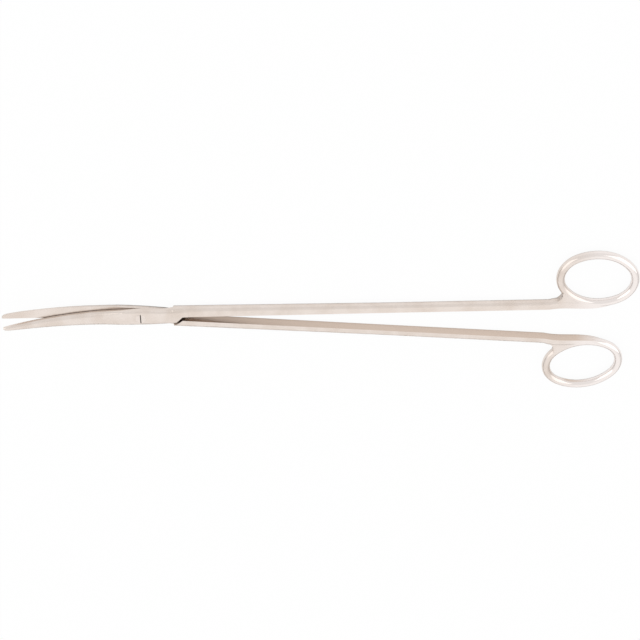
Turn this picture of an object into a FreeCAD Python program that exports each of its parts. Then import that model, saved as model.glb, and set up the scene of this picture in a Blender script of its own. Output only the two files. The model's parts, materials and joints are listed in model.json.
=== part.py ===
import FreeCAD, Part
import os

import Sketcher

# Long curved dissecting scissors. The origin is on the pivot axis, in the plane that the joint rests on.
# +X runs to the finger rings, -X to the blade tips, +Y to the front half's ring, and the tips curve up
# towards +Z. Each half is drawn closed, with its shank along X, and is turned about the pivot as it lies.
doc = FreeCAD.newDocument("dissecting_scissors")
Vector, Rotation, Placement = FreeCAD.Vector, FreeCAD.Rotation, FreeCAD.Placement

# Driving sizes in millimetres and degrees
SIZES = [
    ("rest_opening", 5.4, "angle between the closed pose and the pose in which it lies"),
    ("joint_thickness", 5.6, "both halves together at the pivot"),
    ("joint_width", 7.9, "joint across the pivot"),
    ("joint_rear_width", 7.0, "joint at the back of the lap"),
    ("joint_taper_start", 2.0, "behind the pivot, where the joint starts to narrow"),
    ("joint_crown", 0.06, "forged on the joint's outer faces and ground off flat"),
    ("lap_gap", 0.06, "running gap between the two flat lap faces"),
    ("lap_reach", 18.3, "pivot to the back of the lap, on the middle line"),
    ("lap_angle", 46.0, "slope of the lap's back edge against the middle line"),
    ("shoulder_gap", 0.25, "lap end to the other half's shoulder, closed"),
    ("blade_reach", 60.3, "pivot to the blade tip"),
    ("blade_curve_start", 8.0, "pivot to the heel, where the blades begin to curve up"),
    ("blade_curve_radius", 212.0, "radius of the curve on the flat"),
    ("blade_gap", 0.16, "gap between the inner faces of the blades"),
    ("blade_heel_thickness", 2.75, "one blade at its heel"),
    ("blade_tip_thickness", 1.35, "one blade near its tip"),
    ("edge_heel", 3.85, "middle line to the cutting edge at the heel"),
    ("edge_tip", 0.6, "middle line to the cutting edge near the tip"),
    ("back_heel", 3.95, "middle line to the blunt back at the heel"),
    ("back_tip", 1.5, "middle line to the blunt back near the tip"),
    ("bevel_width", 0.22, "ground cutting bevel, across the blade"),
    ("bevel_height", 0.85, "ground cutting bevel, through the blade"),
    ("shank_gap", 0.4, "between the flat inner sides of the shanks, closed"),
    ("shank_front_width", 4.0, "shank behind the shoulder, across"),
    ("shank_rear_width", 3.4, "shank along its rear part, across"),
    ("shank_front_thickness", 4.6, "shank behind the shoulder, through"),
    ("shank_rear_thickness", 4.1, "shank along its rear part, through"),
    ("shank_flare_reach", 14.6, "pivot to where the shank reaches its full width"),
    ("shank_waist_reach", 105.0, "pivot to where the shank's taper ends"),
    ("ring_reach", 200.0, "pivot to the ring's middle, along the shank"),
    ("root_reach", 20.0, "ring's middle back to where the shank runs into the ring"),
    ("ring_long_radius", 16.4, "middle of the ring's bar, half its length"),
    ("ring_short_radius", 13.3, "middle of the ring's bar, half its width"),
    ("ring_end_radius", 11.5, "middle of the ring's bar, the tighter curve at both ends"),
    ("ring_tilt", 15.0, "ring's long axis, turned in towards the other ring"),
    ("ring_bar", 3.7, "round bar of the ring, across"),
    ("web_thickness", 3.3, "web in the corner of shank and ring"),
    ("web_radius", 4.5, "hollow corner from the shank up to the ring"),
    ("screw_head_diameter", 4.7, "pivot screw's head"),
    ("screw_head_height", 1.1, "pivot screw's head"),
    ("screw_neck_diameter", 3.2, "plain neck that the front half turns on"),
    ("screw_thread_diameter", 2.6, "stretch that is screwed into the rear half"),
    ("screw_end_chamfer", 0.2, "screw's lower end"),
    ("screw_clearance", 0.02, "round the neck and the head, and under the head"),
    ("slot_width", 0.45, "driver slot"),
    ("slot_depth", 0.85, "driver slot"),
]
sizes = doc.addObject("Spreadsheet::Sheet", "Sizes")
for row, (alias, value, note) in enumerate(SIZES, start=1):
    sizes.set(f"A{row}", note)
    sizes.set(f"B{row}", str(value))
    sizes.setAlias(f"B{row}", alias)
doc.recompute()

MIDDLE = "Sizes.joint_thickness / 2"
SHANK_INNER = "Sizes.shank_gap / 2"
# Cuts run this far past the metal, in mm
BEYOND = 8


def origin_plane(body, role):
    """One of the body's own three origin planes."""
    return next(feature for feature in body.Origin.OriginFeatures if feature.Role == role)


def new_sketch(body, name, role, offsets=()):
    """A sketch on an origin plane of its own body, moved by bound offsets such as ("z", "Sizes.reach")."""
    sketch = body.newObject("Sketcher::SketchObject", name)
    sketch.AttachmentSupport = [(origin_plane(body, role), "")]
    sketch.MapMode = "FlatFace"
    for axis, expression in offsets:
        sketch.setExpression(f"AttachmentOffset.Base.{axis}", expression)
    return sketch


def turn_sketch(sketch, axis, angle):
    """Turn a sketch in its plane's own axes by a bound angle."""
    offset = sketch.AttachmentOffset
    offset.Rotation = Rotation(axis, worth(sketch, angle))
    sketch.AttachmentOffset = offset
    sketch.setExpression("AttachmentOffset.Rotation.Angle", angle)


def worth(sketch, expression):
    """The present value of an expression, as a plain number."""
    value = sketch.evalExpression(expression)
    return float(getattr(value, "Value", value))


def start_point(sketch, point):
    """Where a point bound to a pair of expressions lies before the sketch is solved."""
    return Vector(worth(sketch, point[0]), worth(sketch, point[1]), 0)


def hold(sketch, geometry, end, point, kinds=("DistanceX", "DistanceY")):
    """Bind one end of a line or curve to a pair of expressions, measured from the sketch's origin."""
    for kind, expression in zip(("DistanceX", "DistanceY"), point):
        if kind in kinds:
            distance = Sketcher.Constraint(kind, -1, 1, geometry, end, worth(sketch, expression))
            sketch.setExpression(f"Constraints[{sketch.addConstraint(distance)}]", expression)


def outline(sketch, corners):
    """Close straight sides round the corners, each a pair of expressions."""
    points = [start_point(sketch, corner) for corner in corners]
    last = len(points) - 1
    for index, point in enumerate(points):
        sketch.addGeometry(Part.LineSegment(point, points[0 if index == last else index + 1]))
    for index, corner in enumerate(corners):
        follower = 0 if index == last else index + 1
        sketch.addConstraint(Sketcher.Constraint("Coincident", index, 2, follower, 1))
        hold(sketch, index, 1, corner)
    return sketch


def circle(sketch, diameter):
    """A circle of bound diameter about the sketch's origin."""
    radius = worth(sketch, diameter) / 2
    sketch.addGeometry(Part.Circle(Vector(0, 0, 0), Vector(0, 0, 1), radius))
    hold(sketch, 0, 3, ("0", "0"))
    size = sketch.addConstraint(Sketcher.Constraint("Diameter", 0, 2 * radius))
    sketch.setExpression(f"Constraints[{size}]", diameter)
    return sketch


def section(body, name, station, corners, crown):
    """A forged section square to X: straight sides along the corners, closed by a smooth crown.

    The crown is a curve that leaves the last corner, is pulled out by the crown's points and ends at
    the first corner. Corners and crown points are pairs of expressions for Y and Z.
    """
    sketch = new_sketch(body, name, "YZ_Plane", [("z", station)])
    points = [start_point(sketch, corner) for corner in corners]
    sides = len(points) - 1
    for index in range(sides):
        sketch.addGeometry(Part.LineSegment(points[index], points[index + 1]))
        if index:
            sketch.addConstraint(Sketcher.Constraint("Coincident", index - 1, 2, index, 1))
    pulls = [start_point(sketch, point) for point in crown]
    curve = Part.BSplineCurve()
    curve.buildFromPoles([points[-1], *pulls, points[0]], False, 3)
    curve_id = sketch.addGeometry(curve)
    sketch.exposeInternalGeometry(curve_id)
    sketch.addConstraint(Sketcher.Constraint("Coincident", curve_id, 1, sides - 1, 2))
    sketch.addConstraint(Sketcher.Constraint("Coincident", curve_id, 2, 0, 1))
    for index, corner in enumerate(corners):
        line, end = (index, 1) if index < sides else (sides - 1, 2)
        hold(sketch, line, end, corner)
    first_pull = curve_id + 2
    for index, point in enumerate(crown):
        hold(sketch, first_pull + index, 3, point)
    return sketch


def loft(body, name, sections, ruled=False):
    """A solid through the sections, smooth or with straight sides, added to the body."""
    feature = body.newObject("PartDesign::AdditiveLoft", name)
    feature.Profile = sections[0]
    feature.Sections = sections[1:]
    feature.Ruled = ruled
    doc.recompute()
    return feature


def pocket(body, name, sketch, upwards, depth=None):
    """Cut the sketch's outline to a bound depth, or right through, and see that it took metal away."""
    before = body.Shape.Volume
    feature = body.newObject("PartDesign::Pocket", name)
    feature.Profile = sketch
    feature.Reversed = upwards
    if depth is None:
        feature.Type = "ThroughAll"
    else:
        feature.setExpression("Length", depth)
    doc.recompute()
    if body.Shape.Volume >= before:
        raise RuntimeError(f"{name} of {body.Label} cuts nothing")
    return feature


# The two halves
# Both are drawn with the same words. A half's side is +1 for the front half, which lies above the lap
# with its ring at +Y, and -1 for the rear half, which lies below it with its ring at -Y.
FRONT, REAR = 1, -1


def across(side, expression):
    """Distance from the middle line, towards the half's own ring."""
    return f"{side} * ({expression})"


def level(side, expression, lift="0"):
    """Height of a point that lies so far from the lap's middle plane, on the half's own side."""
    return f"{MIDDLE} + {lift} + {side} * ({expression})"


# Blade and joint
# Crown points as shares of the width, from the edge side to the back, and of the thickness. The joint
# is flat on top with rounded sides, and the blade is domed.
JOINT_CROWN = [(0.0, 0.8), (0.1, 1.0), (0.5, 1.0), (0.9, 1.0), (1.0, 0.8)]
BLADE_CROWN = [(0.1, 0.64), (0.3, 0.94), (0.58, 1.04), (0.87, 0.98), (1.0, 0.55)]
# The joint's side stands straight up to this share of its thickness
JOINT_SIDE = 0.4
# Half way along its taper the joint is drawn in by this much on each side, in mm
JOINT_WAIST = 0.1
# The joint is drawn from before the lap's back to beyond it, by so many mm
LAP_BEFORE, LAP_AFTER = 2, 3


def forged_section(side, body, name, station, edge, back, thick, inner, domed=0.0, bevel=0.0, lift="0"):
    """A section of a blade or joint: flat inner face, bevel or straight side, and the crown over them."""
    bevel_in = f"{bevel} * Sizes.bevel_width"
    bevel_up = f"({inner} + {bevel} * Sizes.bevel_height + {(1 - domed) * JOINT_SIDE} * {thick})"
    corners = [
        (across(side, f"-({back})"), level(side, inner, lift)),
        (across(side, edge), level(side, inner, lift)),
        (across(side, f"{edge} - {bevel_in}"), level(side, bevel_up, lift)),
    ]
    crown = []
    for (flat_share, flat_up), (domed_share, domed_up) in zip(JOINT_CROWN, BLADE_CROWN):
        share = flat_share + (domed_share - flat_share) * domed
        up = flat_up + (domed_up - flat_up) * domed
        place = across(side, f"{edge} - {share} * ({edge} + {back})")
        crown.append((place, level(side, f"{inner} + {up} * {thick}", lift)))
    return section(body, name, station, corners, crown)


# How far along the blade a section lies, from heel to tip, how far its crown has changed from the joint's
# to the blade's, and how much of its width and thickness the rounded tip leaves there
BLADE_STATIONS = [
    (0.0, 0.0, 1.0),
    (0.03, 0.08, 1.0),
    (0.07, 0.25, 1.0),
    (0.12, 0.52, 1.0),
    (0.18, 0.8, 1.0),
    (0.26, 0.97, 1.0),
    (0.4, 1.0, 1.0),
    (0.6, 1.0, 1.0),
    (0.8, 1.0, 1.0),
    (0.93, 1.0, 0.97),
    (0.975, 1.0, 0.86),
    (0.993, 1.0, 0.66),
    (1.0, 1.0, 0.42),
]
# The blade narrows with this power of the way along it, slowly at first
NARROWING = 1.5
# The gap between the blades has its full width from the first quarter of the blade on
GAP_OPENING = 4


def blade_section(side, body, index, along, domed, left):
    """One section of a blade, whose width and thickness run down to the tip while it curves up."""
    curved = f"({along} * (Sizes.blade_reach - Sizes.blade_curve_start))"
    lift = f"(Sizes.blade_curve_radius - sqrt(Sizes.blade_curve_radius ^ 2 - {curved} ^ 2))"
    spread = along ** NARROWING
    edge = f"({left} * (Sizes.edge_heel + {spread} * (Sizes.edge_tip - Sizes.edge_heel)))"
    back = f"({left} * (Sizes.back_heel + {spread} * (Sizes.back_tip - Sizes.back_heel)))"
    loss = f"{along} * (Sizes.blade_tip_thickness - Sizes.blade_heel_thickness)"
    thick = f"({left} * (Sizes.blade_heel_thickness + {loss}))"
    inner = f"(Sizes.lap_gap / 2 + {min(1.0, GAP_OPENING * along)} * (Sizes.blade_gap - Sizes.lap_gap) / 2)"
    station = f"-(Sizes.blade_curve_start + {curved})"
    name = f"BladeSection{index}"
    return forged_section(side, body, name, station, edge, back, thick, inner, domed, domed * left, lift)


def add_blade(side, body):
    """The curved blade, from the heel to its rounded tip."""
    stations = [blade_section(side, body, index, *row) for index, row in enumerate(BLADE_STATIONS)]
    loft(body, "Blade", stations)


def add_joint(side, body):
    """The flat-topped joint, which narrows behind the pivot and ends in the sloping back of the lap."""
    inner = "Sizes.lap_gap / 2"
    crown = f"(Sizes.joint_thickness / 2 + Sizes.joint_crown - {inner})"
    half_width, rear_half_width = "Sizes.joint_width / 2", "Sizes.joint_rear_width / 2"
    waist = f"(({half_width} + {rear_half_width}) / 2 - {JOINT_WAIST})"
    rows = [
        ("-Sizes.blade_curve_start", "Sizes.edge_heel", "Sizes.back_heel", "Sizes.blade_heel_thickness"),
        ("-Sizes.blade_curve_start / 2", half_width, half_width, crown),
        ("Sizes.joint_taper_start", half_width, half_width, crown),
        ("(Sizes.joint_taper_start + Sizes.lap_reach) / 2", waist, waist, crown),
        (
            f"Sizes.lap_reach - {LAP_BEFORE}",
            rear_half_width,
            rear_half_width,
            "(Sizes.joint_thickness / 4 + Sizes.shank_front_thickness / 4)",
        ),
        (
            f"Sizes.lap_reach + {LAP_AFTER}",
            rear_half_width,
            rear_half_width,
            "Sizes.shank_front_thickness / 2",
        ),
    ]
    sections = []
    for index, (station, edge, back, thick) in enumerate(rows):
        name = f"JointSection{index}"
        sections.append(forged_section(side, body, name, station, edge, back, thick, inner))
    loft(body, "Joint", sections)

    # Ground flat on the outer side, from the heel back
    ground = new_sketch(body, "GroundFlat", "XY_Plane", [("z", level(side, "Sizes.joint_thickness / 2"))])
    outline(ground, [
        ("-Sizes.blade_curve_start", f"-{BEYOND}"),
        (f"Sizes.lap_reach + {BEYOND}", f"-{BEYOND}"),
        (f"Sizes.lap_reach + {BEYOND}", f"{BEYOND}"),
        ("-Sizes.blade_curve_start", f"{BEYOND}"),
    ])
    pocket(body, "GrindOuterFace", ground, upwards=side == FRONT)

    # The back of the lap slopes from the shank's inner side out to the joint's far side
    lap_end = new_sketch(body, "LapEnd", "XY_Plane", [("z", MIDDLE)])
    outline(lap_end, [
        (f"Sizes.lap_reach + {SHANK_INNER} / tan(Sizes.lap_angle)", across(side, SHANK_INNER)),
        (f"Sizes.lap_reach - {BEYOND} / tan(Sizes.lap_angle)", across(side, f"-{BEYOND}")),
        (f"Sizes.lap_reach + {BEYOND}", across(side, f"-{BEYOND}")),
        (f"Sizes.lap_reach + {BEYOND}", across(side, SHANK_INNER)),
    ])
    pocket(body, "CutLapEnd", lap_end, upwards=side == FRONT)


# Shank
# Crown points as shares of the width, out from the flat inner side, and of the thickness
SHANK_CROWN = [(0.62, 0.5), (1.08, 0.42), (1.08, -0.42), (0.62, -0.5)]
# The shank flares out from inside the joint: where it starts, as a share of the flare's reach, how thick
# it is there, as a share of the shank, and how deep the start lies under the joint's side
FLARE_START = 0.6
FLARE_THICKNESS = 0.9
FLARE_COVER = 0.15
# Where the shank runs into the ring: places on the ring by angle, how far the shank's section has moved
# there to the core that ends inside the ring's bar, and how far it has narrowed to the core's width
ROOT_STATIONS = [(270, 0.05, 0.4), (288, 0.35, 0.9), (306, 1.0, 1.0)]
# The core's width, as a share of the ring's bar
ROOT_CORE = 0.68


def shank_section(side, body, index, station, inner, wide, thick):
    """A shank section: flat on the inner side, round on the outer side."""
    corners = [
        (across(side, inner), level(side, f"-({thick}) / 2")),
        (across(side, inner), level(side, f"({thick}) / 2")),
    ]
    crown = []
    for share, up in SHANK_CROWN:
        crown.append((across(side, f"{inner} + {share} * ({wide})"), level(side, f"{up} * ({thick})")))
    return section(body, f"ShankSection{index}", station, corners, crown)


def add_shank(side, body):
    """The slender shank, from under the joint out to the inside of the ring's bar."""
    inner = f"({SHANK_INNER})"
    flare = "Sizes.shank_flare_reach"
    root = "(Sizes.ring_reach - Sizes.root_reach)"
    hidden = f"(Sizes.joint_rear_width / 2 - {inner} - {FLARE_COVER})"
    rows = [
        (f"{flare} * {FLARE_START}", hidden, f"{FLARE_THICKNESS} * Sizes.shank_front_thickness"),
        (flare, "Sizes.shank_front_width", "Sizes.shank_front_thickness"),
        ("Sizes.shank_waist_reach", "Sizes.shank_rear_width", "Sizes.shank_rear_thickness"),
        (root, "Sizes.shank_rear_width", "Sizes.shank_rear_thickness"),
    ]
    sections = []
    for station, wide, thick in rows:
        sections.append(shank_section(side, body, len(sections), station, inner, wide, thick))
    core = f"({ROOT_CORE} * Sizes.ring_bar)"
    for degrees, moved, narrowed in ROOT_STATIONS:
        station, out = ring_point(FRONT, degrees)
        step = f"{inner} + {moved} * (({out}) - {core} / 2 - {inner})"
        wide = f"Sizes.shank_rear_width + {narrowed} * ({core} - Sizes.shank_rear_width)"
        thick = f"Sizes.shank_rear_thickness + {moved} * ({core} - Sizes.shank_rear_thickness)"
        sections.append(shank_section(side, body, len(sections), station, f"({step})", wide, thick))
    loft(body, "ShankFlare", sections[0:2], ruled=True)
    loft(body, "ShankTaper", sections[1:3], ruled=True)
    straight = body.newObject("PartDesign::Pad", "ShankStraight")
    straight.Profile = sections[2]
    straight.setExpression("Length", f"{root} - Sizes.shank_waist_reach")
    loft(body, "ShankRoot", sections[3:])

    # The shank's shoulder: the other half's lap end fits in front of it
    relief = new_sketch(body, "Shoulder", "XY_Plane", [("z", level(side, "Sizes.lap_gap / 2"))])
    corner = "(Sizes.lap_reach + Sizes.shoulder_gap / sin(Sizes.lap_angle))"
    sloped = f"{corner} - {BEYOND} / tan(Sizes.lap_angle)"
    at_minus_y, at_plus_y = (corner, sloped) if side == FRONT else (sloped, corner)
    outline(relief, [
        ("0", f"-{BEYOND}"),
        (at_minus_y, f"-{BEYOND}"),
        (corner, "0"),
        (at_plus_y, f"{BEYOND}"),
        ("0", f"{BEYOND}"),
    ])
    pocket(body, "CutShoulder", relief, upwards=side == REAR)


# Finger ring
# The ring stands so far out that the closed rings keep the shanks' gap between them
RING_OUT = (
    "(hypot(Sizes.ring_long_radius * sin(Sizes.ring_tilt); Sizes.ring_short_radius * cos(Sizes.ring_tilt))"
    f" + Sizes.ring_bar / 2 + {SHANK_INNER})"
)


def ring_point(side, degrees, outwards="0"):
    """A point on the ring's middle line, or so far outside it, by its angle from the ring's long axis."""
    along = f"(Sizes.ring_long_radius + {outwards}) * cos({degrees})"
    aside = f"(Sizes.ring_short_radius + {outwards}) * sin({degrees})"
    reach = f"Sizes.ring_reach + {along} * cos(Sizes.ring_tilt) + {aside} * sin(Sizes.ring_tilt)"
    out = f"{RING_OUT} - {along} * sin(Sizes.ring_tilt) + {aside} * cos(Sizes.ring_tilt)"
    return reach, across(side, out)


def add_ring(side, body):
    """The oval finger ring: round bar, carried round four arcs that run into each other smoothly.

    The side arcs' radius follows from the end arcs' radius and the oval's two half axes. Two arcs meet on
    the line through their centres.
    """
    offsets = [("x", "Sizes.ring_reach"), ("y", across(side, RING_OUT)), ("z", MIDDLE)]
    path = new_sketch(body, "RingPath", "XY_Plane", offsets)
    turn_sketch(path, Vector(0, 0, -side), "Sizes.ring_tilt")
    half_long, half_short = "Sizes.ring_long_radius", "Sizes.ring_short_radius"
    end = "Sizes.ring_end_radius"
    squares = f"({half_long} ^ 2 - 2 * {half_long} * {end} + {half_short} ^ 2)"
    flat = f"({squares} / (2 * ({half_short} - {end})))"
    end_centre = f"({half_long} - {end})"
    side_centre = f"({flat} - {half_short})"
    meet_x = f"({end_centre} * {flat} / ({flat} - {end}))"
    meet_y = f"({end} * {side_centre} / ({flat} - {end}))"
    minus_x, minus_y = f"-{meet_x}", f"-{meet_y}"
    arcs = [
        ((meet_x, minus_y), (half_long, "0"), (meet_x, meet_y), "DistanceX", end_centre),
        ((meet_x, meet_y), ("0", half_short), (minus_x, meet_y), "DistanceY", f"-{side_centre}"),
        ((minus_x, meet_y), (f"-{half_long}", "0"), (minus_x, minus_y), "DistanceX", f"-{end_centre}"),
        ((minus_x, minus_y), ("0", f"-{half_short}"), (meet_x, minus_y), "DistanceY", side_centre),
    ]
    for first, top, last, _, _ in arcs:
        path.addGeometry(Part.ArcOfCircle(*(start_point(path, point) for point in (first, top, last))))
    for index, (first, _, _, kind, centre) in enumerate(arcs):
        path.addConstraint(Sketcher.Constraint("Coincident", index, 2, (index + 1) % len(arcs), 1))
        hold(path, index, 1, first)
        hold(path, index, 3, (centre, centre), kinds=(kind,))

    # The bar's section stands where the first side arc starts
    bar_centre = (
        f"Sizes.ring_reach + {meet_x} * cos(Sizes.ring_tilt) + {meet_y} * sin(Sizes.ring_tilt)",
        across(side, f"{RING_OUT} - {meet_x} * sin(Sizes.ring_tilt) + {meet_y} * cos(Sizes.ring_tilt)"),
    )
    offsets = [("x", bar_centre[0]), ("y", MIDDLE), ("z", f"-({bar_centre[1]})")]
    bar = new_sketch(body, "RingBar", "XZ_Plane", offsets)
    turn_sketch(bar, Vector(0, -side, 0), f"Sizes.ring_tilt * 1 deg - atan2({side_centre}; {end_centre})")
    circle(bar, "Sizes.ring_bar")
    ring = body.newObject("PartDesign::AdditivePipe", "Ring")
    ring.Profile = bar
    ring.Spine = (path, ["Edge1", "Edge2", "Edge3", "Edge4"])
    doc.recompute()


# The web's outer end lies so far out from the middle of the ring's bar, as a share of the bar, and its foot
# so far under the shank's outer side, in mm. Its hidden edge follows the bar's middle line at these angles
WEB_TOP = 0.35
WEB_FOOT = 0.3
WEB_ANGLES = (225, 240, 255, 270, 283)


def add_web(side, body):
    """The flat web that fills the corner where the shank runs into the ring."""
    web = new_sketch(body, "WebOutline", "XY_Plane", [("z", MIDDLE)])
    reach, out = ring_point(side, WEB_ANGLES[0], f"{WEB_TOP} * Sizes.ring_bar")
    shank_side = f"({SHANK_INNER} + Sizes.shank_rear_width - {WEB_FOOT})"
    rise = f"({side} * ({out}) - {shank_side} - Sizes.web_radius)"
    foot_x = f"({reach} - sqrt(Sizes.web_radius ^ 2 - {rise} ^ 2))"
    foot = (foot_x, across(side, shank_side))
    centre = (foot_x, across(side, f"{shank_side} + Sizes.web_radius"))
    corners = [(reach, out)]
    corners += [ring_point(side, degrees) for degrees in WEB_ANGLES]
    corners += [(foot_x, across(side, f"{SHANK_INNER} + Sizes.shank_rear_width / 2")), foot]
    points = [start_point(web, corner) for corner in corners]
    sides = len(points) - 1
    for index in range(sides):
        web.addGeometry(Part.LineSegment(points[index], points[index + 1]))
        if index:
            web.addConstraint(Sketcher.Constraint("Coincident", index - 1, 2, index, 1))
            hold(web, index, 1, corners[index])
    # The hollow corner, which runs anticlockwise on both halves
    middle = start_point(web, centre)
    on_arc = (points[0] - middle) + (points[-1] - middle)
    on_arc = middle + on_arc.normalize() * (points[-1] - middle).Length
    foot_end, ring_end = (1, 2) if side == FRONT else (2, 1)
    first, last = (points[-1], points[0]) if side == FRONT else (points[0], points[-1])
    arc = web.addGeometry(Part.ArcOfCircle(first, on_arc, last))
    hold(web, sides - 1, 2, foot)
    web.addConstraint(Sketcher.Constraint("Coincident", arc, foot_end, sides - 1, 2))
    web.addConstraint(Sketcher.Constraint("Coincident", arc, ring_end, 0, 1))
    hold(web, arc, 3, centre)
    hold(web, 0, 1, corners[0], kinds=("DistanceY",))
    pad = body.newObject("PartDesign::Pad", "Web")
    pad.Profile = web
    pad.SideType = "Symmetric"
    pad.setExpression("Length", "Sizes.web_thickness")
    doc.recompute()


def add_front_holes(body):
    """The front half turns on the screw's neck, under its sunk head."""
    top = [("z", "Sizes.joint_thickness")]
    play = "2 * Sizes.screw_clearance"
    neck = new_sketch(body, "NeckHole", "XY_Plane", top)
    circle(neck, f"Sizes.screw_neck_diameter + {play}")
    pocket(body, "DrillNeck", neck, upwards=False)
    head = new_sketch(body, "HeadSink", "XY_Plane", top)
    circle(head, f"Sizes.screw_head_diameter + {play}")
    pocket(body, "SinkHead", head, upwards=False, depth="Sizes.screw_head_height + Sizes.screw_clearance")


def add_rear_hole(body):
    """The rear half holds the screw's thread."""
    thread = new_sketch(body, "ThreadHole", "XY_Plane", [("z", MIDDLE)])
    circle(thread, "Sizes.screw_thread_diameter")
    pocket(body, "DrillThread", thread, upwards=False)


def make_half(label, side):
    """One forged half: blade, joint, shank, ring and web, turned open about the pivot."""
    body = doc.addObject("PartDesign::Body", label)
    body.Label = label
    add_blade(side, body)
    add_joint(side, body)
    add_shank(side, body)
    add_ring(side, body)
    add_web(side, body)
    return body


def lay_open(body, side):
    """Turn a finished half by its share of the opening, its ring outwards."""
    half_angle = "Sizes.rest_opening / 2"
    body.Placement = Placement(Vector(0, 0, 0), Rotation(Vector(0, 0, side), worth(body, half_angle)))
    body.setExpression("Placement.Rotation.Angle", half_angle)


def make_screw():
    """The pivot screw: sunk slotted head, plain neck and threaded end, ground flush on both sides."""
    body = doc.addObject("PartDesign::Body", "pivot_screw")
    body.Label = "pivot_screw"
    profile = new_sketch(body, "Profile", "XZ_Plane")
    thread, neck, head = (f"Sizes.screw_{part}_diameter / 2" for part in ("thread", "neck", "head"))
    seat = f"{MIDDLE} - Sizes.lap_gap / 2"
    under_head = "Sizes.joint_thickness - Sizes.screw_head_height"
    outline(profile, [
        ("0", "0"),
        (f"{thread} - Sizes.screw_end_chamfer", "0"),
        (thread, "Sizes.screw_end_chamfer"),
        (thread, seat),
        (neck, seat),
        (neck, under_head),
        (head, under_head),
        (head, "Sizes.joint_thickness"),
        ("0", "Sizes.joint_thickness"),
    ])
    turned = body.newObject("PartDesign::Revolution", "Turned")
    turned.Profile = profile
    turned.ReferenceAxis = (profile, ["V_Axis"])
    turned.Angle = 360
    doc.recompute()
    slot = new_sketch(body, "Slot", "XY_Plane", [("z", "Sizes.joint_thickness")])
    half_slot, past_head = "Sizes.slot_width / 2", "Sizes.screw_head_diameter"
    outline(slot, [
        (f"-{half_slot}", f"-{past_head}"),
        (half_slot, f"-{past_head}"),
        (half_slot, past_head),
        (f"-{half_slot}", past_head),
    ])
    pocket(body, "SawSlot", slot, upwards=False, depth="Sizes.slot_depth")
    return body


front_half = make_half("front_half", FRONT)
add_front_holes(front_half)
lay_open(front_half, FRONT)
rear_half = make_half("rear_half", REAR)
add_rear_hole(rear_half)
lay_open(rear_half, REAR)
pivot_screw = make_screw()
doc.recompute()

for item in doc.Objects:
    if "Invalid" in item.State or "Error" in item.State:
        raise RuntimeError(f"{item.Label} could not be worked out")
os.makedirs("parts", exist_ok=True)
for piece in (front_half, rear_half, pivot_screw):
    shape = piece.Shape
    if shape.isNull() or not shape.isValid() or len(shape.Solids) != 1:
        raise RuntimeError(f"{piece.Label} is not one sound solid")
    shape.exportStep(f"parts/{piece.Label}.step")
    print(piece.Label, round(shape.Volume, 2), "mm3", shape.BoundBox)
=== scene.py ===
import json
import math

import bpy
from mathutils import Matrix, Vector

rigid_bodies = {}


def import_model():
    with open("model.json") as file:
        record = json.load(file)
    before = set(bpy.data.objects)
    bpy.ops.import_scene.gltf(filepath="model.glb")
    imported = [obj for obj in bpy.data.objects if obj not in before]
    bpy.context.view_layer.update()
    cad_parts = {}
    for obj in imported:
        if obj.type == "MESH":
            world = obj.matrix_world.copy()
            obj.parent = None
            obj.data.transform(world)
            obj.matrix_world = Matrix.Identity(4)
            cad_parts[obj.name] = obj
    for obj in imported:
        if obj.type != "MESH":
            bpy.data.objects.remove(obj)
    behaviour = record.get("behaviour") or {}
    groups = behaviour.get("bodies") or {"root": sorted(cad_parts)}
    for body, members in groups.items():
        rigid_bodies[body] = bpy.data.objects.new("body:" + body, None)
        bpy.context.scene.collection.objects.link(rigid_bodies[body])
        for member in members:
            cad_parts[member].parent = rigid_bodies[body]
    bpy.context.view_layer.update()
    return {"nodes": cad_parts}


for left_over in list(bpy.data.objects):
    bpy.data.objects.remove(left_over)
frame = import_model()
MILLIMETRE = 0.001

# The two halves
# Each half is one forging in stainless steel: blade, joint, shank and finger ring. It is ground along its
# length, then buffed until the grinding lines are faint, and the rings are polished smoothest, with a lighter
# painted sheen.


def linear(hex_colour):
    """A written sRGB colour as the linear values that a shader takes."""
    shades = [int(hex_colour[place : place + 2], 16) / 255 for place in (1, 3, 5)]
    return [s / 12.92 if s <= 0.04045 else ((s + 0.055) / 1.055) ** 2.4 for s in shades] + [1.0]


def add_node(tree, kind, inputs=(), **settings):
    """A node with its settings, and its inputs as values or as the sockets that feed them."""
    node = tree.nodes.new(kind)
    for name, value in settings.items():
        setattr(node, name, value)
    for name, value in dict(inputs).items():
        if isinstance(value, bpy.types.NodeSocket):
            tree.links.new(value, node.inputs[name])
        else:
            node.inputs[name].default_value = value
    return node


def new_material(name):
    """An empty node material and its tree."""
    material = bpy.data.materials.new(name)
    material.use_nodes = True
    material.node_tree.nodes.clear()
    return material, material.node_tree


def dress(piece, material):
    """Give one piece of the scissors its material."""
    slots = frame["nodes"][piece].data.materials
    slots.clear()
    slots.append(material)


STEEL = "#E8DDD5"
STEEL_SHADE = "#DFD2C8"
# Painted sheen: the rings' lighter tone
RING_SHEEN = "#F3EBE7"
# Painted shade: the browner tone of the shanks' inner sides, standing in for the shaded table they mirror
INNER_SIDE_SHADE = "#D6C4B6"
# Painted shade in narrow corners
CREVICE_SHADE = "#54463B"
SHANK_ROUGHNESS, RING_ROUGHNESS = 0.24, 0.1
# How strongly the grinding lines show. Real ones are some 0.05 mm apart, drawn coarser so that they show
SHANK_LINES, RING_LINES = 0.14, 0.02
GRIT_SPACING = 0.35 * MILLIMETRE
GRIT_LENGTH = 9 * MILLIMETRE
GRIT_DEPTH = 0.02 * MILLIMETRE
GRIT_DETAIL, FINE_GRIT_SHARE = 3.0, 0.6
# Buffing leaves patches that differ a little in tint and roughness
PATCH_SIZE = 7 * MILLIMETRE
PATCH_DETAIL = 2.0
PATCH_TINT = {"From Min": 0.35, "From Max": 0.7}
PATCH_ROUGHNESS = {"From Min": 0.3, "From Max": 0.7, "To Min": 0.85, "To Max": 1.15}
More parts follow.
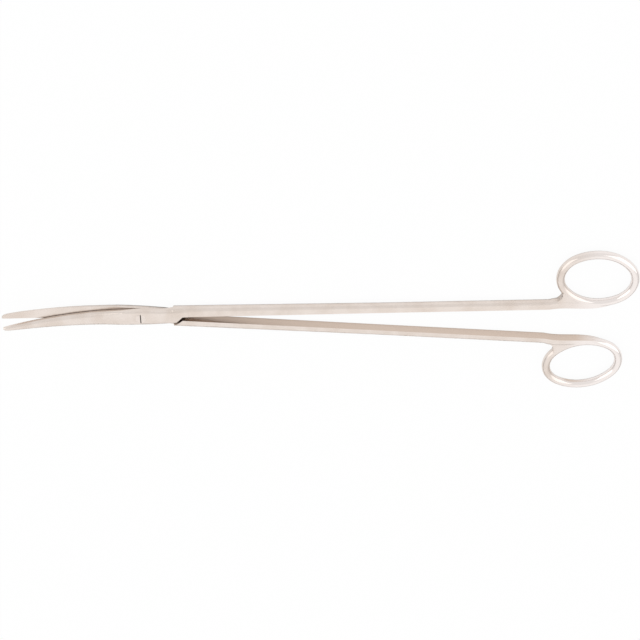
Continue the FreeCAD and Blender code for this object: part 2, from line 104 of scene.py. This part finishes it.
# Distances from the pivot along the shank, in which the ring's polish and painted sheen and the inner side's
# painted shade begin and end
RING_POLISH_AND_SHEEN = {"From Min": 184 * MILLIMETRE, "From Max": 198 * MILLIMETRE}
PAST_JOINT = {"From Min": 18 * MILLIMETRE, "From Max": 19 * MILLIMETRE}
BEFORE_RING = {"From Min": 194 * MILLIMETRE, "From Max": 206 * MILLIMETRE, "To Min": 1.0, "To Max": 0.0}
# How squarely a face looks inwards, as a cosine
INWARDS = {"From Min": 0.9, "From Max": 0.96}
# How open a place is within the crevices' reach, and the share of painted shade that it gets
CREVICE_REACH = 2.5 * MILLIMETRE
CREVICE_SAMPLES = 8
CORNER_SHADE = {"From Min": 0.22, "From Max": 0.8, "To Min": 0.96, "To Max": 0.0}


def steel(name, inner_way):
    """Ground steel whose roughness and grinding lines change from the shank to the polished ring.

    The flat inner side of the shank, which faces along Y as inner_way says, gets a browner painted shade that
    stands in for the shaded table it mirrors. Narrow corners get painted shade and the ring a lighter painted
    sheen.
    """
    material, tree = new_material(name)
    place = add_node(tree, "ShaderNodeTexCoord").outputs
    reach = add_node(tree, "ShaderNodeSeparateXYZ", {0: place["Object"]}).outputs["X"]
    patch = {"Vector": place["Object"], "Scale": 1 / PATCH_SIZE, "Detail": PATCH_DETAIL}
    patches = add_node(tree, "ShaderNodeTexNoise", patch).outputs["Fac"]

    # Painted shade on the inner side, where a face looks inwards and lies between the joint and the ring
    facing = {0: place["Normal"], 1: (0.0, inner_way, 0.0)}
    facing = add_node(tree, "ShaderNodeVectorMath", facing, operation="DOT_PRODUCT").outputs["Value"]
    inner = 1.0
    for value, limits in ((facing, INWARDS), (reach, PAST_JOINT), (reach, BEFORE_RING)):
        within = add_node(tree, "ShaderNodeMapRange", {"Value": value, **limits}).outputs["Result"]
        inner = add_node(tree, "ShaderNodeMath", {0: inner, 1: within}, operation="MULTIPLY").outputs["Value"]

    # Painted shade: narrow corners, such as the one between the blades, get a dark tone by how enclosed they
    # are
    corner = {"Distance": CREVICE_REACH}
    open_air = add_node(tree, "ShaderNodeAmbientOcclusion", corner, samples=CREVICE_SAMPLES).outputs["AO"]
    tinted = add_node(tree, "ShaderNodeMapRange", {"Value": patches, **PATCH_TINT}).outputs["Result"]
    # Painted sheen: the ring's base colour is lighter than the shank's
    painted_ring_sheen = add_node(tree, "ShaderNodeMapRange", {"Value": reach, **RING_POLISH_AND_SHEEN}).outputs["Result"]
    painted_corner_shade = add_node(tree, "ShaderNodeMapRange", {"Value": open_air, **CORNER_SHADE}).outputs["Result"]
    tones = ((tinted, STEEL_SHADE), (painted_ring_sheen, RING_SHEEN), (inner, INNER_SIDE_SHADE), (painted_corner_shade, CREVICE_SHADE))
    tint = linear(STEEL)
    for share, colour in tones:
        laid_over = {"Factor": share, "A": tint, "B": linear(colour)}
        tint = add_node(tree, "ShaderNodeMix", laid_over, data_type="RGBA").outputs["Result"]

    buffed = {"Value": reach, **RING_POLISH_AND_SHEEN, "To Min": SHANK_ROUGHNESS, "To Max": RING_ROUGHNESS}
    buffed = add_node(tree, "ShaderNodeMapRange", buffed).outputs["Result"]
    uneven = add_node(tree, "ShaderNodeMapRange", {"Value": patches, **PATCH_ROUGHNESS}).outputs["Result"]
    roughness = {0: buffed, 1: uneven}
    roughness = add_node(tree, "ShaderNodeMath", roughness, operation="MULTIPLY").outputs["Value"]

    # Grinding lines run along the forging
    stretch = (1 / GRIT_LENGTH, 1 / GRIT_SPACING, 1 / GRIT_SPACING)
    along = {"Vector": place["Object"], "Scale": stretch}
    along = add_node(tree, "ShaderNodeMapping", along).outputs["Vector"]
    grit = {"Vector": along, "Scale": 1.0, "Detail": GRIT_DETAIL, "Roughness": FINE_GRIT_SHARE}
    grain = add_node(tree, "ShaderNodeTexNoise", grit).outputs["Fac"]
    strength = {"Value": reach, **RING_POLISH_AND_SHEEN, "To Min": SHANK_LINES, "To Max": RING_LINES}
    strength = add_node(tree, "ShaderNodeMapRange", strength).outputs["Result"]
    lines = {"Height": grain, "Strength": strength, "Distance": GRIT_DEPTH}
    lined = add_node(tree, "ShaderNodeBump", lines).outputs["Normal"]

    surface = {"Base Color": tint, "Metallic": 1.0, "Roughness": roughness, "Normal": lined}
    shader = add_node(tree, "ShaderNodeBsdfPrincipled", surface)
    add_node(tree, "ShaderNodeOutputMaterial", {"Surface": shader.outputs["BSDF"]})
    return material


# The eye gets pale warm steel with faint lines along it, sharper reflections and a lighter painted sheen on
# the rings, a browner painted shade on the shanks' flat inner sides and painted shade in narrow corners
for half, inner_way in (("front_half", -1), ("rear_half", 1)):
    dress(half, steel(f"ground and buffed stainless steel of the {half}", inner_way))

# The pivot screw
# A turned steel screw with a sawn slot. It is ground off flush with the joint when the pair is finished,
# so it has the same satin face as the steel round it, and its slot is given a dark painted shade.
SCREW_TOP = 5.6 * MILLIMETRE
# The face's tone starts at the slot's edge and is full at the rim, both measured down from the top
SLOT_EDGE = 0.15 * MILLIMETRE
SLOT_RIM = 0.05 * MILLIMETRE
# Painted shade inside the slot
SLOT_SHADE = "#4E443C"
SLOT_ROUGHNESS, FACE_ROUGHNESS = 0.6, 0.26
screw_steel, tree = new_material("satin steel of the flush screw, dark in its slot")
places = add_node(tree, "ShaderNodeTexCoord").outputs["Object"]
height = add_node(tree, "ShaderNodeSeparateXYZ", {0: places}).outputs["Z"]
near_top = {"Value": height, "From Min": SCREW_TOP - SLOT_EDGE, "From Max": SCREW_TOP - SLOT_RIM}
on_top = add_node(tree, "ShaderNodeMapRange", near_top).outputs["Result"]
colours = {"Factor": on_top, "A": linear(SLOT_SHADE), "B": linear(STEEL)}
shade = add_node(tree, "ShaderNodeMix", colours, data_type="RGBA").outputs["Result"]
worked = {"Value": on_top, "To Min": SLOT_ROUGHNESS, "To Max": FACE_ROUGHNESS}
roughness = add_node(tree, "ShaderNodeMapRange", worked).outputs["Result"]
surface = {"Base Color": shade, "Metallic": 1.0, "Roughness": roughness}
shader = add_node(tree, "ShaderNodeBsdfPrincipled", surface)
add_node(tree, "ShaderNodeOutputMaterial", {"Surface": shader.outputs["BSDF"]})
dress("pivot_screw", screw_steel)

# Floor
# A plain white table that the scissors lie on. It shows white to the eye and in the steel's reflections,
# and keeps the shadows.
FLOOR_REACH = 6.0
FLOOR_DROP = 0.02 * MILLIMETRE
TABLE_WHITE, PLAIN_WHITE = "#F2F2F2", "#FFFFFF"
# How much of the table's own light and shadow is lifted to plain white, for the eye and in reflections
EYE_LIFT, MIRROR_LIFT = 0.96, 0.8
# Between the shanks the table lies in the shade, and there reflections show it dark
SHADED_REACH = 8 * MILLIMETRE
OPEN_TABLE = {"From Min": 0.2, "From Max": 0.75, "To Min": 0.0, "To Max": MIRROR_LIFT}
floor_mesh = bpy.data.meshes.new("floor")
corners = [(FLOOR_REACH * x, FLOOR_REACH * y, -FLOOR_DROP) for x, y in ((-1, -1), (1, -1), (1, 1), (-1, 1))]
floor_mesh.from_pydata(corners, [], [(0, 1, 2, 3)])
floor = bpy.data.objects.new("floor", floor_mesh)
bpy.context.scene.collection.objects.link(floor)
white_table, tree = new_material("white table")
seen = add_node(tree, "ShaderNodeLightPath").outputs
in_steel = {0: seen["Is Glossy Ray"], 1: seen["Is Transmission Ray"]}
in_steel = add_node(tree, "ShaderNodeMath", in_steel, operation="MAXIMUM").outputs["Value"]
open_sky = add_node(tree, "ShaderNodeAmbientOcclusion", {"Distance": SHADED_REACH}).outputs["AO"]
lift = add_node(tree, "ShaderNodeMapRange", {"Value": open_sky, **OPEN_TABLE}).outputs["Result"]
lift = add_node(tree, "ShaderNodeMath", {0: in_steel, 1: lift}, operation="MULTIPLY").outputs["Value"]
lifts = {0: seen["Is Camera Ray"], 1: EYE_LIFT, 2: lift}
lifts = add_node(tree, "ShaderNodeMath", lifts, operation="MULTIPLY_ADD").outputs["Value"]
matt = add_node(tree, "ShaderNodeBsdfDiffuse", {"Color": linear(TABLE_WHITE)}).outputs["BSDF"]
lifted = {"Color": linear(PLAIN_WHITE), "Strength": 1.0}
lifted = add_node(tree, "ShaderNodeEmission", lifted).outputs["Emission"]
both = add_node(tree, "ShaderNodeMixShader", {0: lifts, 1: matt, 2: lifted})
add_node(tree, "ShaderNodeOutputMaterial", {"Surface": both.outputs["Shader"]})
floor_mesh.materials.append(white_table)

# Studio
# A white room with one very broad soft lamp beyond the scissors, which their flat faces mirror. The room is
# dark low down behind the lamp, so that the edges on that side get a dark line.
ROOM_LIGHT = 0.89
# How bright the room is by height, and where it is bright down to the floor, as parts of a unit direction
LOW_DOWN = {"From Min": 0.0, "From Max": 0.3, "To Min": 0.3, "To Max": 1.0}
NEAR_SIDE = {"From Min": -0.3, "From Max": 0.1}
world = bpy.data.worlds.new("studio")
bpy.context.scene.world = world
world.use_nodes = True
tree = world.node_tree
tree.nodes.clear()
way = add_node(tree, "ShaderNodeTexCoord").outputs["Generated"]
parts = add_node(tree, "ShaderNodeSeparateXYZ", {0: way}).outputs
low = add_node(tree, "ShaderNodeMapRange", {"Value": parts["Z"], **LOW_DOWN}).outputs["Result"]
near_side = add_node(tree, "ShaderNodeMapRange", {"Value": parts["Y"], **NEAR_SIDE}).outputs["Result"]
horizon = add_node(tree, "ShaderNodeMath", {0: low, 1: near_side}, operation="MAXIMUM").outputs["Value"]
lit = add_node(tree, "ShaderNodeMath", {0: horizon, 1: ROOM_LIGHT}, operation="MULTIPLY").outputs["Value"]
air = add_node(tree, "ShaderNodeBackground", {"Color": linear(PLAIN_WHITE), "Strength": lit})
add_node(tree, "ShaderNodeOutputWorld", {"Surface": air.outputs["Background"]})

MIDDLE = Vector((0.08, 0.0, 0.0))


def add_lamp(name, place, size, power):
    """A square soft lamp at a place, facing the middle of the scissors."""
    lamp = bpy.data.lights.new(name, "AREA")
    lamp.size = size
    lamp.energy = power
    holder = bpy.data.objects.new(name, lamp)
    bpy.context.scene.collection.objects.link(holder)
    turned = (Vector(place) - MIDDLE).to_track_quat("Z", "Y").to_matrix().to_4x4()
    holder.matrix_world = Matrix.Translation(place) @ turned


BROAD_PLACE, BROAD_SIZE, BROAD_POWER = (0.08, -0.9, 1.1), 2.2, 2.0
add_lamp("broad", BROAD_PLACE, BROAD_SIZE, BROAD_POWER)
# Two smaller lamps off to the sides, which the rings' bends mirror as white streaks
RIGHT_PLACE, LEFT_PLACE = (1.3, 0.3, 0.9), (-1.1, 0.3, 0.9)
SIDE_SIZE, SIDE_POWER = 1.5, 3.2
add_lamp("right", RIGHT_PLACE, SIDE_SIZE, SIDE_POWER)
add_lamp("left", LEFT_PLACE, SIDE_SIZE, SIDE_POWER)

# Camera
# It looks down on the flat scissors from the front half's side, with their tips to the left. Its place is
# counted from the pivot, and it is rolled a little against the level.
PIVOT = Vector((0.0, 0.0, 2.8 * MILLIMETRE))
ELEVATION = math.radians(48.0)
AZIMUTH = math.radians(0.677)
ROLL = math.radians(0.374)
SIDEWAYS, UPWARDS, DISTANCE = 0.0792, -0.0022, 0.633
VIEW_ANGLE = math.radians(25.25)
flat_reach = math.cos(ELEVATION)
towards = Vector((-math.sin(AZIMUTH) * flat_reach, math.cos(AZIMUTH) * flat_reach, math.sin(ELEVATION)))
level_right = Vector((math.cos(AZIMUTH), math.sin(AZIMUTH), 0.0))
level_up = towards.cross(level_right)
right = math.cos(ROLL) * level_right + math.sin(ROLL) * level_up
up = towards.cross(right)
camera_data = bpy.data.cameras.new("camera")
camera_data.sensor_fit = "HORIZONTAL"
camera_data.angle = VIEW_ANGLE
camera = bpy.data.objects.new("camera", camera_data)
bpy.context.scene.collection.objects.link(camera)
place = PIVOT + SIDEWAYS * right + UPWARDS * up + DISTANCE * towards
turned = Matrix((right, up, towards)).transposed().to_4x4()
camera.matrix_world = Matrix.Translation(place) @ turned
bpy.context.scene.camera = camera

bpy.context.scene.view_settings.view_transform = "Standard"
